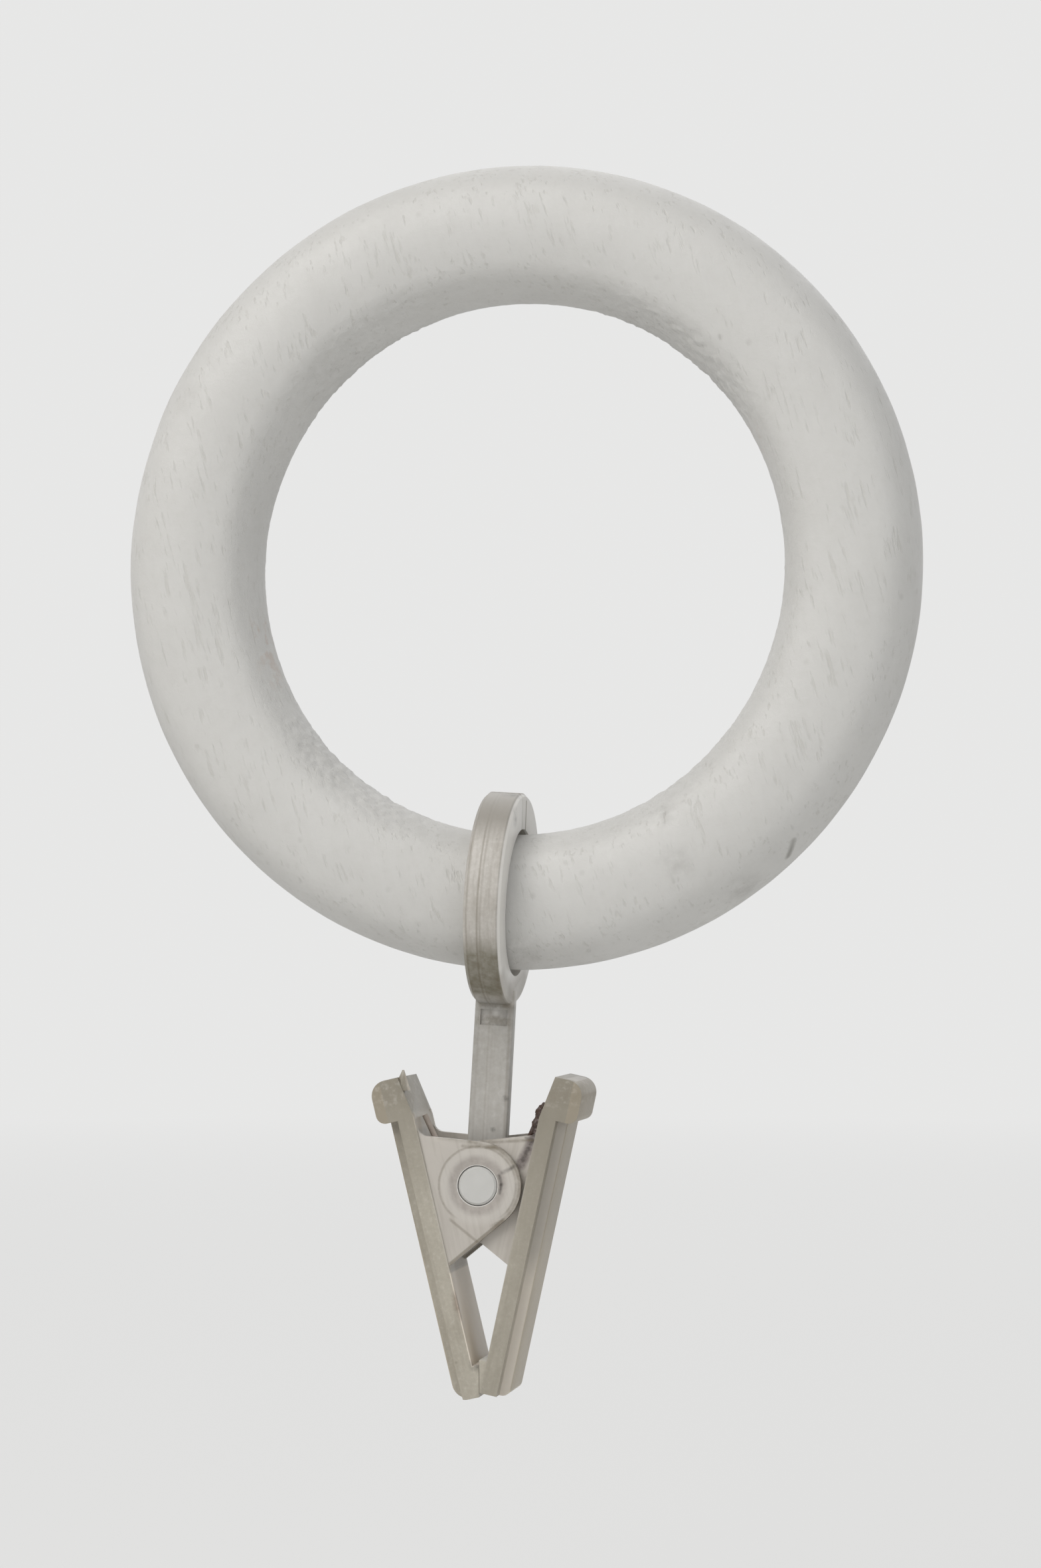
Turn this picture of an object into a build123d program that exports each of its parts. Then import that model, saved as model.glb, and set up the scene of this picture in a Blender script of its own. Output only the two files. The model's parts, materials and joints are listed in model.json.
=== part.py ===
from build123d import *

import os
from math import asin, atan2, cos, degrees, hypot, pi, radians, sin, tan

# Curtain ring: a turned wooden ring, painted white, with a moulded clip hanging on it.
# The ring's centre is the origin and its axis is Y; the clip hangs towards -Z.
# All lengths are millimetres and all angles are degrees.

# Wooden ring
ring_outer_d = 56.0
ring_inner_d = 37.0
ring_depth = 9.2
face_r = 7.0
inner_wall_bulge = 1.6
outer_wall_bulge = 1.8
inner_shoulder_r = 2.6
outer_shoulder_r = 3.2

# Loop of the hanger, round the ring's section
loop_gap = 0.12
loop_seat_gap = 0.4
loop_width = 2.55
loop_top_wall = 2.5
loop_bottom_wall = 2.05
loop_edge = 0.25
split_width = 0.15
split_angle = 8.0

# Stem of the hanger, from the loop down to its eye on the pivot pin
pivot_drop = 42.9
stem_top_width = 2.75
stem_foot_width = 2.8
stem_thickness = 1.1
stem_edge_r = 0.2
eye_r = 2.2
window_width = 1.9
window_height = 1.1
window_depth = 0.2
window_drop = 0.35

# Pivot pin and its torsion spring
pin_d = 2.7
pin_fit = 0.06
pin_end_chamfer = 0.15
wire_d = 0.4
coil_gap = 0.2
coil_pitch = 0.41
full_turns = 1
leg_height = 5.6
leg_gap = 0.05

# Clip jaws, drawn with the arm upright at its distance from the pivot
arm_lean = 12.9
arm_inner_x = 3.24
arm_width = 1.9
arm_half_depth = 3.15
land_width = 0.72
land_depth = 1.0
ear_r = 3.05
ear_thickness = 0.5
ear_top_angle = 18.6
ear_under_angle = 26.0
ear_fairing_r = 0.8
layer_gap = 0.1
thumb_top = 8.55
thumb_under = 5.6
thumb_reach = 0.7
thumb_taper = 0.5
thumb_bend = 5.6
thumb_top_r = 1.1
thumb_under_r = 0.65
pad_height = 2.2
pad_gap = 0.1
right_tip_drop = 13.9
left_tip_drop = 14.2
right_tip_r = 0.6
left_tip_r = 1.1

# How the clip hangs: the hanger has slid round the ring, and the head hangs straight under its pin
hanger_swing = 3.3
head_tilt = -0.6

# Worked out from the sizes above
ring_outer_r = ring_outer_d / 2
ring_inner_r = ring_inner_d / 2
section_r = (ring_outer_r + ring_inner_r) / 2
section_half = (ring_outer_r - ring_inner_r) / 2
face_half = section_half - (inner_wall_bulge + outer_wall_bulge) / 2
section_edge = ring_depth / 2 - (face_r - (face_r**2 - face_half**2) ** 0.5)
section_reach = max(
    hypot(section_half - inner_wall_bulge, section_edge),
    hypot(section_half - outer_wall_bulge, section_edge),
    section_half,
    ring_depth / 2,
)
loop_bore_r = section_reach + loop_gap
loop_outer_r = loop_bore_r + (loop_top_wall + loop_bottom_wall) / 2
loop_bore_drop = ring_inner_r - loop_seat_gap + loop_bore_r
loop_outer_drop = loop_bore_drop - (loop_top_wall - loop_bottom_wall) / 2
loop_bottom = loop_outer_drop + loop_outer_r
pin_r = pin_d / 2
pin_hole_r = pin_r + pin_fit
eye_half = stem_thickness / 2
coil_r = pin_r + coil_gap + wire_d / 2
arm_outer_x = arm_inner_x + arm_width
arm_mid_x = arm_inner_x + arm_width / 2

# The spring's leg runs from a tangent of its coil to the inner face of the leaning arm
leg_end_x = arm_inner_x - wire_d / 2 - leg_gap
lean = radians(arm_lean)
leg_tip_x = leg_end_x * cos(lean) + leg_height * sin(lean)
leg_tip_z = leg_height * cos(lean) - leg_end_x * sin(lean)
leg_run = hypot(leg_tip_x, leg_tip_z)
leg_angle = atan2(leg_tip_z, leg_tip_x) + asin(coil_r / leg_run)
leg_length = (leg_run**2 - coil_r**2) ** 0.5
coil_start = 90 - degrees(leg_angle)
coil_turns = full_turns + (180 - 2 * coil_start) / 360
coil_height = coil_turns * coil_pitch
coil_slope = coil_pitch / (2 * pi * coil_r)

# Layers outward from the middle of the head: eye, coil, inner ears, outer ears
coil_near = eye_half + layer_gap + wire_d / 2
coil_far = coil_near + coil_height
inner_ear_y = coil_far + wire_d / 2 + leg_length * coil_slope + layer_gap
outer_ear_y = inner_ear_y + ear_thickness + layer_gap
pin_half_length = outer_ear_y + ear_thickness + layer_gap / 2

hanger_place = Rot(0, hanger_swing, 0)
pivot_place = hanger_place * Pos(0, 0, -pivot_drop)
head_place = Pos(*pivot_place.position) * Rot(0, head_tilt, 0)


# The ring's section: four gently rounded sides and soft shoulders, turned about the axis
def wooden_ring():
    half, edge = ring_depth / 2, section_edge
    low, high = ring_inner_r + inner_wall_bulge, ring_outer_r - outer_wall_bulge
    sides = [
        ThreePointArc((low, -edge), ((low + high) / 2, -half), (high, -edge)),
        ThreePointArc((high, -edge), (ring_outer_r, 0), (high, edge)),
        ThreePointArc((high, edge), ((low + high) / 2, half), (low, edge)),
        ThreePointArc((low, edge), (ring_inner_r, 0), (low, -edge)),
    ]
    section = make_face(Wire(sides))
    inner = section.vertices().sort_by(Axis.X)[:2]
    section = fillet(inner, inner_shoulder_r)
    outer = section.vertices().sort_by(lambda v: abs(v.X - high) + abs(abs(v.Y) - edge))[:2]
    section = fillet(outer, outer_shoulder_r)
    return revolve(section, Axis.Y)


# A disc about the X axis at the given height
def disc_x(radius, width, z):
    return Pos(0, 0, z) * Rot(0, 90, 0) * Cylinder(radius, width)


# A disc about the Y axis, from one depth to another
def disc_y(radius, near, far):
    return Pos(0, (near + far) / 2, 0) * Rot(90, 0, 0) * Cylinder(radius, far - near)


# The loop is split near its top, so that it springs open over the ring
def loop():
    band = disc_x(loop_outer_r, loop_width, -loop_outer_drop)
    band = chamfer(band.edges().filter_by(GeomType.CIRCLE), loop_edge)
    band -= disc_x(loop_bore_r, 2 * loop_width, -loop_bore_drop)
    reach = loop_outer_r + loop_top_wall
    slit = Pos(0, 0, reach / 2) * Box(2 * loop_width, split_width, reach)
    return band - Pos(0, 0, -loop_bore_drop) * Rot(split_angle, 0, 0) * slit


# The strap below the loop, with its eye, the hub behind the eye and the moulded window
def stem():
    top = loop_bottom - loop_bottom_wall / 2
    outline = Polygon(
        (-stem_top_width / 2, -top),
        (stem_top_width / 2, -top),
        (stem_foot_width / 2, -pivot_drop),
        (-stem_foot_width / 2, -pivot_drop),
        align=None,
    )
    strap = extrude(Plane.XZ * outline, eye_half, both=True)
    long_edges = strap.edges().filter_by(lambda e: e.length > pivot_drop - top - 1)
    strap = fillet(long_edges, stem_edge_r)
    eye = Pos(0, 0, -pivot_drop) * disc_y(eye_r, -eye_half, eye_half)
    hub = Pos(0, 0, -pivot_drop) * disc_y(eye_r, 0, inner_ear_y - layer_gap)
    bore = Pos(0, 0, -pivot_drop) * disc_y(pin_hole_r, -inner_ear_y, inner_ear_y)
    window_z = loop_bottom + window_drop + window_height / 2
    window = Pos(0, -eye_half, -window_z) * Box(window_width, 2 * window_depth, window_height)
    return strap + eye + hub - bore - window


def hanger():
    return hanger_place * (loop() + stem())


def pivot_pin():
    pin = disc_y(pin_r, -pin_half_length, pin_half_length)
    pin = chamfer(pin.edges().filter_by(GeomType.CIRCLE), pin_end_chamfer)
    return head_place * pin


# The spring: a coil in front of the eye, with a leg up to the inner face of each arm
def torsion_spring():
    helix = Rot(-90, 0, 0) * Rot(0, 0, coil_start) * Helix(coil_pitch, coil_height, coil_r)
    start, end = Plane(helix @ 0, z_dir=helix % 0), Plane(helix @ 1, z_dir=helix % 1)
    wire = sweep(start * Circle(wire_d / 2), path=helix, is_frenet=True)
    wire += extrude(start * Circle(wire_d / 2), -leg_length)
    wire += extrude(end * Circle(wire_d / 2), leg_length)
    return head_place * Pos(0, -coil_far, 0) * wire


# One ear: a rounded end on the pin, widening from there to the arm above and below
def ear(near):
    top, under = radians(ear_top_angle), radians(ear_under_angle)
    low_z = -ear_r / cos(under) - arm_mid_x * tan(under)
    top_tangent = (-ear_r * sin(top), ear_r * cos(top))
    under_tangent = (-ear_r * sin(under), -ear_r * cos(under))
    root = (arm_inner_x, ear_r / cos(top) + arm_inner_x * tan(top))
    above_root = root[1] + 2 * ear_fairing_r
    outline = [
        Line((arm_mid_x, low_z), (arm_mid_x, above_root)),
        Line((arm_mid_x, above_root), (arm_inner_x, above_root)),
        Line((arm_inner_x, above_root), root),
        Line(root, top_tangent),
        ThreePointArc(top_tangent, (-ear_r, 0), under_tangent),
        Line(under_tangent, (arm_mid_x, low_z)),
    ]
    face = make_face(Wire(outline))
    corner = face.vertices().sort_by(lambda v: hypot(v.X - root[0], v.Y - root[1]))[:1]
    face = fillet(corner, ear_fairing_r)
    plate = extrude(Plane.XZ * face, ear_thickness)
    return Pos(0, -near, 0) * plate


# The arm with its thumb lip above, its gripping pad below and a sunk land along each outer edge
def arm(tip_drop, tip_r):
    lip_x = arm_outer_x + thumb_reach
    pad_top = pad_height - tip_drop
    outline = Polygon(
        (0, -tip_drop),
        (arm_outer_x, -tip_drop),
        (arm_outer_x, thumb_under),
        (lip_x, thumb_under),
        (lip_x, thumb_top),
        (arm_inner_x + thumb_taper, thumb_top),
        (arm_inner_x, thumb_bend),
        (arm_inner_x, pad_top),
        (0, pad_top),
        align=None,
    )
    tip = outline.vertices().sort_by(lambda v: hypot(v.X - arm_outer_x, v.Y + tip_drop))[:1]
    outline = fillet(tip, tip_r)
    lip = outline.vertices().filter_by(lambda v: v.X > lip_x - 0.01).sort_by(Axis.Y)
    outline = fillet(lip[-1:], thumb_top_r)
    lip = outline.vertices().filter_by(lambda v: v.X > lip_x - 0.01).sort_by(Axis.Y)
    outline = fillet(lip[:1], thumb_under_r)
    body = extrude(Plane.XZ * outline, arm_half_depth, both=True)
    land_length = thumb_under + tip_drop
    for side in (-1, 1):
        land = Box(2 * land_width, 2 * land_depth, land_length)
        body -= Pos(arm_outer_x, side * arm_half_depth, thumb_under - land_length / 2) * land
    return body


# A whole jaw for the right side, leaned into place, with its pad cut back to the closing plane
def jaw(ear_y, hole_r, tip_drop, tip_r):
    body = arm(tip_drop, tip_r)
    body += ear(ear_y)
    body += mirror(ear(ear_y), about=Plane.XZ)
    body -= disc_y(hole_r, -2 * arm_half_depth, 2 * arm_half_depth)
    body = Rot(0, arm_lean, 0) * body
    beyond = 2 * arm_half_depth
    closing = Box(beyond, 2 * beyond, tip_drop)
    return body - Pos((pad_gap - beyond) / 2, 0, -tip_drop) * closing


# The pin sits tight in the right jaw's ears and turns in the left jaw's
def right_jaw():
    return head_place * jaw(inner_ear_y, pin_r, right_tip_drop, right_tip_r)


def left_jaw():
    left = jaw(outer_ear_y, pin_hole_r, left_tip_drop, left_tip_r)
    return head_place * mirror(left, about=Plane.YZ)


pieces = {
    "wooden_ring": wooden_ring,
    "hanger": hanger,
    "pivot_pin": pivot_pin,
    "torsion_spring": torsion_spring,
    "right_jaw": right_jaw,
    "left_jaw": left_jaw,
}

os.makedirs("parts", exist_ok=True)
for name, build in pieces.items():
    shape = build()
    print(name, len(shape.solids()), round(shape.volume, 2))
    export_step(shape, f"parts/{name}.step")
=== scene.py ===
import bpy
import bmesh
import json
from math import cos, hypot, pi, radians, sin
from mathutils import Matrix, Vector

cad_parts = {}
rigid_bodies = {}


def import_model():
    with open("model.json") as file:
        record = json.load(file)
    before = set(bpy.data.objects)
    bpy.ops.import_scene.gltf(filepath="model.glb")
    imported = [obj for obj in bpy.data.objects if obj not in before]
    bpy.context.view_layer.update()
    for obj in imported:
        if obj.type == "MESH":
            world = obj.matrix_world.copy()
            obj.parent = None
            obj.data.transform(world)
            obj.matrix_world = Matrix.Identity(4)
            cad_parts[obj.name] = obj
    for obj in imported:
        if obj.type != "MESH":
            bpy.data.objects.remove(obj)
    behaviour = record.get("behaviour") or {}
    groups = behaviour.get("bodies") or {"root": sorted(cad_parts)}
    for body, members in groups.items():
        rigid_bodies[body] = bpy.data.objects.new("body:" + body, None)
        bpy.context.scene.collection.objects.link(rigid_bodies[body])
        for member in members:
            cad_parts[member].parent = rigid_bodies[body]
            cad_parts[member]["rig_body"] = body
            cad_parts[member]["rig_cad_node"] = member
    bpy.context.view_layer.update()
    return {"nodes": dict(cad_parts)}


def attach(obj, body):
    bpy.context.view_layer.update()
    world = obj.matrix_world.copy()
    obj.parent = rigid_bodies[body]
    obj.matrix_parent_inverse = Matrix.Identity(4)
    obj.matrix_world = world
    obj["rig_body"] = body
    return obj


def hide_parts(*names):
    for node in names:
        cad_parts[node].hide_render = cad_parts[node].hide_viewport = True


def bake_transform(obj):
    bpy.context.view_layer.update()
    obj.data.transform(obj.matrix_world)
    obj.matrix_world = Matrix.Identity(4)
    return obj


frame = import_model()
mm = 0.001

# the clip's head: where its pin is, how far it and the hanger tilt, how far its arms lean, and
# how far from the pin, in mm, an arm's inner and outer face lie
head = {
    "pivot": Vector((-2.4695, 0.0, -42.8289)) * mm,
    "tilt": radians(-0.6),
    "swing": radians(3.3),
    "lean": radians(12.9),
    "armInner": 3.24,
    "armOuter": 5.14,
}


def deselectAll():
    for other in bpy.context.view_layer.objects:
        other.select_set(False)


def takeUp(piece):
    deselectAll()
    piece.select_set(True)
    bpy.context.view_layer.objects.active = piece


def pick(piece, test, kind="faces"):
    # selects by place or normal, in edit mode
    bpy.ops.mesh.select_mode(type={"faces": "FACE", "edges": "EDGE", "verts": "VERT"}[kind])
    bpy.ops.mesh.select_all(action="DESELECT")
    shape = bmesh.from_edit_mesh(piece.data)
    count = 0
    for part in getattr(shape, kind):
        if test(part):
            part.select_set(True)
            count += 1
    shape.select_flush_mode()
    bmesh.update_edit_mesh(piece.data)
    return count


def applyAll(piece):
    takeUp(piece)
    for modifier in list(piece.modifiers):
        bpy.ops.object.modifier_apply(modifier=modifier.name)


def atOrigin(piece):
    takeUp(piece)
    bpy.ops.object.transform_apply(location=True, rotation=True, scale=True)


def copyOfNode(nodeName, newName, flatWithin=0.8):
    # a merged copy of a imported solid, ready to be worked on
    source = frame["nodes"][nodeName]
    takeUp(source)
    bpy.ops.object.duplicate()
    piece = bpy.context.view_layer.objects.active
    piece.name = newName
    piece.parent = None
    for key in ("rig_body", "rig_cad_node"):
        if key in piece:
            del piece[key]
    piece.data.materials.clear()
    bpy.ops.object.mode_set(mode="EDIT")
    bpy.ops.mesh.select_all(action="SELECT")
    bpy.ops.mesh.remove_doubles(threshold=0.002 * mm)
    if flatWithin:
        bpy.ops.mesh.dissolve_limited(angle_limit=radians(flatWithin), delimit={"NORMAL"})
    bpy.ops.object.mode_set(mode="OBJECT")
    return piece


def node(tree, kind, inputs=None, **settings):
    # a node with its settings and inputs, each input a plain value or another node's output
    made = tree.nodes.new(kind)
    for key, value in settings.items():
        setattr(made, key, value)
    for key, value in (inputs or {}).items():
        if isinstance(value, bpy.types.NodeSocket):
            tree.links.new(value, made.inputs[key])
        else:
            made.inputs[key].default_value = value
    return made


def newMaterial(name):
    material = bpy.data.materials.new(name)
    material.use_nodes = True
    tree = material.node_tree
    return material, tree, tree.nodes["Principled BSDF"]


def combine(tree, operation, first, second=0.0, clamp=False):
    made = node(tree, "ShaderNodeMath", {0: first, 1: second}, operation=operation, use_clamp=clamp)
    return made.outputs[0]


def both(tree, *masks):
    result = masks[0]
    for mask in masks[1:]:
        result = combine(tree, "MULTIPLY", result, mask)
    return result


def weighted(tree, *parts):
    # the sum of some values, each times its weight
    total = None
    for value, weight in parts:
        share = combine(tree, "MULTIPLY", value, weight)
        total = share if total is None else combine(tree, "ADD", total, share)
    return total


def mapped(tree, value, start, end, first, last):
    # goes evenly from first at start to last at end
    reach = {"Value": value, "From Min": start, "From Max": end, "To Min": first, "To Max": last}
    return node(tree, "ShaderNodeMapRange", reach).outputs["Result"]


# camera, lights and background
shot = {
    "azimuth": radians(10.5),
    "distance": 250.0 * mm,
    "eyeLevel": -25.0 * mm,
    "frameMiddle": -15.0 * mm,
    "frameHeight": 109.3 * mm,
    "sensor": 36.0,
    "nearest": 0.01,
    "farthest": 20,
}
shotAim = Vector((0, 0, shot["eyeLevel"]))


def buildCamera():
    data = bpy.data.cameras.new("camera")
    camera = bpy.data.objects.new("camera", data)
    bpy.context.scene.collection.objects.link(camera)
    back = Vector((sin(shot["azimuth"]), -cos(shot["azimuth"]), 0))
    camera.location = shotAim + back * shot["distance"]
    camera.rotation_mode = "QUATERNION"
    camera.rotation_quaternion = (-back).to_track_quat("-Z", "Y")
    data.sensor_width = shot["sensor"]
    data.lens = shot["sensor"] * shot["distance"] / shot["frameHeight"]
    data.shift_y = (shot["frameMiddle"] - shot["eyeLevel"]) / shot["frameHeight"]
    data.clip_start, data.clip_end = shot["nearest"], shot["farthest"]
    bpy.context.scene.camera = camera


lights = {
    # name: place in mm, size in mm, power in W, tint
    "key": ((-310, -420, 430), 560, 2.95, (1.0, 0.985, 0.96)),
    "fill": ((420, -360, 20), 640, 0.90, (0.98, 0.99, 1.0)),
    "back": ((60, 420, 380), 560, 0.5, (1.0, 1.0, 1.0)),
}


def buildLights():
    for name, (place, size, power, tint) in lights.items():
        data = bpy.data.lights.new(name, "AREA")
        data.shape = "DISK"
        data.size = size * mm
        data.energy = power
        data.color = tint
        lamp = bpy.data.objects.new(name, data)
        bpy.context.scene.collection.objects.link(lamp)
        lamp.location = Vector(place) * mm
        lamp.rotation_mode = "QUATERNION"
        lamp.rotation_quaternion = (shotAim - lamp.location).to_track_quat("-Z", "Y")


room = {
    "floorZ": -86.0 * mm,
    "floorSize": 6.0,
    "ambient": 0.38,
    "light": (1, 1, 1, 1),
    "seen": (0.80, 0.80, 0.795, 1),
    "paper": (0.8, 0.8, 0.79, 1),
    "paperRoughness": 0.9,
    "fadeFrom": 0.05,
    "fadeTo": 0.9,
    "shadowShare": 0.35,
}


def palePaper():
    # matt paper that fades into the plain background further out, and keeps the soft shadow nearby
    paper, tree, shader = newMaterial("palePaper")
    shader.inputs["Base Color"].default_value = room["paper"]
    shader.inputs["Roughness"].default_value = room["paperRoughness"]
    shown = node(tree, "ShaderNodeEmission", {"Color": room["seen"]})
    coords = node(tree, "ShaderNodeTexCoord").outputs
    away = node(tree, "ShaderNodeVectorMath", {0: coords["Object"]}, operation="LENGTH")
    nearby = 1 - room["shadowShare"]
    fade = mapped(tree, away.outputs["Value"], room["fadeFrom"], room["fadeTo"], nearby, 1.0)
    path = node(tree, "ShaderNodeLightPath").outputs
    seen = combine(tree, "MAXIMUM", path["Is Camera Ray"], path["Is Transmission Ray"])
    share = combine(tree, "MULTIPLY", seen, fade)
    mix = node(tree, "ShaderNodeMixShader", {0: share, 1: shader.outputs[0], 2: shown.outputs[0]})
    tree.links.new(mix.outputs[0], tree.nodes["Material Output"].inputs["Surface"])
    return paper


def buildRoom():
    # the camera, reflections and see-through plastic meet the pale colour, all else the softer light
    world = bpy.data.worlds.new("room")
    bpy.context.scene.world = world
    world.use_nodes = True
    tree = world.node_tree
    tree.nodes.clear()
    output = node(tree, "ShaderNodeOutputWorld")
    path = node(tree, "ShaderNodeLightPath").outputs
    seen = combine(tree, "MAXIMUM", path["Is Camera Ray"], path["Is Glossy Ray"])
    seen = combine(tree, "MAXIMUM", seen, path["Is Transmission Ray"])
    lit = node(tree, "ShaderNodeBackground", {"Color": room["light"], "Strength": room["ambient"]})
    shown = node(tree, "ShaderNodeBackground", {"Color": room["seen"]})
    mix = node(tree, "ShaderNodeMixShader", {0: seen, 1: lit.outputs[0], 2: shown.outputs[0]})
    tree.links.new(mix.outputs[0], output.inputs["Surface"])
    deselectAll()
    bpy.ops.mesh.primitive_plane_add(size=room["floorSize"], location=(0, 0, room["floorZ"]))
    floor = bpy.context.object
    floor.name = "floor"
    floor.data.materials.append(palePaper())


bpy.context.scene.view_settings.view_transform = "Standard"
buildCamera()
buildLights()
buildRoom()
print("camera, lights and room made")


def newGroup(name, inputs, outputs):
    # a place goes in as a vector, everything else is a plain number
    group = bpy.data.node_groups.new(name, "ShaderNodeTree")
    for label, value in inputs.items():
        kind = "NodeSocketVector" if value is None else "NodeSocketFloat"
        socket = group.interface.new_socket(name=label, in_out="INPUT", socket_type=kind)
        if value is not None:
            socket.default_value = value
    for label in outputs:
        group.interface.new_socket(name=label, in_out="OUTPUT", socket_type="NodeSocketFloat")
    return group, group.nodes.new("NodeGroupInput").outputs, group.nodes.new("NodeGroupOutput").inputs


def useGroup(tree, group, inputs):
    return node(tree, "ShaderNodeGroup", inputs, node_tree=group).outputs


def ramp(tree, factor, stops):
    # two stops, each a place and how bright it is there
    made = node(tree, "ShaderNodeValToRGB", {"Fac": factor})
    for band, (place, tone) in zip(made.color_ramp.elements, stops):
        band.position = place
        band.color = (tone, tone, tone, 1)
    return made.outputs["Color"]


def mixColor(tree, factor, first, second):
    made = node(tree, "ShaderNodeMix", {0: factor, 6: first, 7: second}, data_type="RGBA")
    return made.outputs[2]


def vectorMath(tree, operation, first, second):
    return node(tree, "ShaderNodeVectorMath", {0: first, 1: second}, operation=operation).outputs


def noise(tree, place, scale, detail, roughness=0.5):
    inputs = {"Vector": place, "Scale": scale, "Detail": detail, "Roughness": roughness}
    return node(tree, "ShaderNodeTexNoise", inputs).outputs["Fac"]


def placed(tree, turn=(0, 0, 0), centre=(0, 0, 0)):
    # object coordinates in millimetres, centred and turned
    coords = node(tree, "ShaderNodeTexCoord").outputs["Object"]
    shift = {"Vector": coords, "Location": tuple(-c * 1000 for c in centre), "Scale": (1000, 1000, 1000)}
    moved = node(tree, "ShaderNodeMapping", shift).outputs[0]
    return node(tree, "ShaderNodeMapping", {"Vector": moved, "Rotation": turn}).outputs[0]


def stretched(tree, place, scale):
    return node(tree, "ShaderNodeMapping", {"Vector": place, "Scale": scale}).outputs[0]


def partsOf(tree, place):
    return node(tree, "ShaderNodeSeparateXYZ", {"Vector": place}).outputs


def fromAxis(tree, parts):
    # how far a point lies from the Y axis
    squares = [combine(tree, "POWER", parts[key], 2.0) for key in ("X", "Z")]
    return combine(tree, "SQRT", combine(tree, "ADD", *squares))


# the wood's pores and fibres, and the dirt on the paint and the plastic; noises: scale, detail, roughness
grain = {
    "fine": (3.4, 3.0, 0.55),
    "wide": (0.55, 2.0),
    "unevenness": 0.35,
    "pores": [(0.60, 0.0), (0.72, 1.0)],
    "fibres": (1.6, 5.0, 0.6),
}
dirt = {
    "specks": [(0.05, 1.0), (0.16, 0.0)],
    "rarity": (0.23, 1.0),
    "rare": [(0.52, 0.0), (0.62, 1.0)],
    "cloudDetail": (5.0, 0.62),
    "smudges": [(0.42, 0.0), (0.70, 1.0)],
}


def grainGroup():
    # short pores along one direction, given a place already turned so that the grain runs along Z
    inputs = {"Place": None, "Length": 1.0, "Amount": 0.5}
    group, ins, outs = newGroup("woodPores", inputs, ["Pores", "Fibres"])
    shorter = combine(group, "DIVIDE", 1.0, ins["Length"])
    stretch = node(group, "ShaderNodeCombineXYZ", {"X": 1.0, "Y": 1.0, "Z": shorter})
    scaled = vectorMath(group, "MULTIPLY", ins["Place"], stretch.outputs[0])[0]
    fine = noise(group, scaled, *grain["fine"])
    wide = noise(group, ins["Place"], *grain["wide"])
    uneven = combine(group, "MULTIPLY", combine(group, "SUBTRACT", wide, 0.5), grain["unevenness"])
    pores = ramp(group, combine(group, "ADD", fine, uneven), grain["pores"])
    group.links.new(combine(group, "MULTIPLY", pores, ins["Amount"]), outs["Pores"])
    group.links.new(noise(group, scaled, *grain["fibres"]), outs["Fibres"])
    return group


def spotGroup():
    # small specks and broad soft smudges
    inputs = {"Place": None, "Speck Scale": 1.0, "Smudge Scale": 0.1}
    group, ins, outs = newGroup("specksAndSmudges", inputs, ["Specks", "Smudges"])
    cells = node(group, "ShaderNodeTexVoronoi", {"Vector": ins["Place"], "Scale": ins["Speck Scale"]})
    near = ramp(group, cells.outputs["Distance"], dirt["specks"])
    rare = ramp(group, noise(group, ins["Place"], *dirt["rarity"]), dirt["rare"])
    group.links.new(combine(group, "MULTIPLY", near, rare), outs["Specks"])
    cloud = noise(group, ins["Place"], ins["Smudge Scale"], *dirt["cloudDetail"])
    group.links.new(ramp(group, cloud, dirt["smudges"]), outs["Smudges"])
    return group


woodPores = grainGroup()
specksAndSmudges = spotGroup()


def spotMask(tree, place, centre, radius, soft):
    # one soft round spot at a place given in mm
    gap = vectorMath(tree, "DISTANCE", place, centre)["Value"]
    share = combine(tree, "DIVIDE", gap, radius + soft)
    return ramp(tree, share, [(radius / (radius + soft), 1.0), (1.0, 0.0)])


def streakMask(tree, place, start, end, radius, soft):
    # a soft streak from one place to another, in mm
    run = Vector(end) - Vector(start)
    away = vectorMath(tree, "SUBTRACT", place, start)[0]
    along = vectorMath(tree, "DOT_PRODUCT", away, tuple(run))["Value"]
    along = combine(tree, "DIVIDE", along, run.length_squared, clamp=True)
    reach = node(tree, "ShaderNodeVectorMath", {0: tuple(run), "Scale": along}, operation="SCALE")
    gap = vectorMath(tree, "DISTANCE", away, reach.outputs[0])["Value"]
    return mapped(tree, gap, radius, radius + soft, 1.0, 0.0)


def between(tree, value, low, high, soft):
    # 1 from low to high, fading out over soft mm on both sides
    off = combine(tree, "ABSOLUTE", combine(tree, "SUBTRACT", value, (low + high) / 2))
    return mapped(tree, off, (high - low) / 2, (high - low) / 2 + soft, 1.0, 0.0)


def tinted(tree, color, mask, amount, other):
    return mixColor(tree, combine(tree, "MULTIPLY", mask, amount, clamp=True), color, other)


def banded(tree, color, value, band, other, *masks):
    # a tint where the value lies in a band, given as low, high, softness and strength
    low, high, soft, strength = band
    mask = both(tree, between(tree, value, low, high, soft), *masks)
    return tinted(tree, color, mask, strength, other)


def bumped(tree, shader, height, strength, distance):
    bump = node(tree, "ShaderNodeBump", {"Strength": strength, "Distance": distance, "Height": height})
    tree.links.new(bump.outputs["Normal"], shader.inputs["Normal"])


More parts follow.
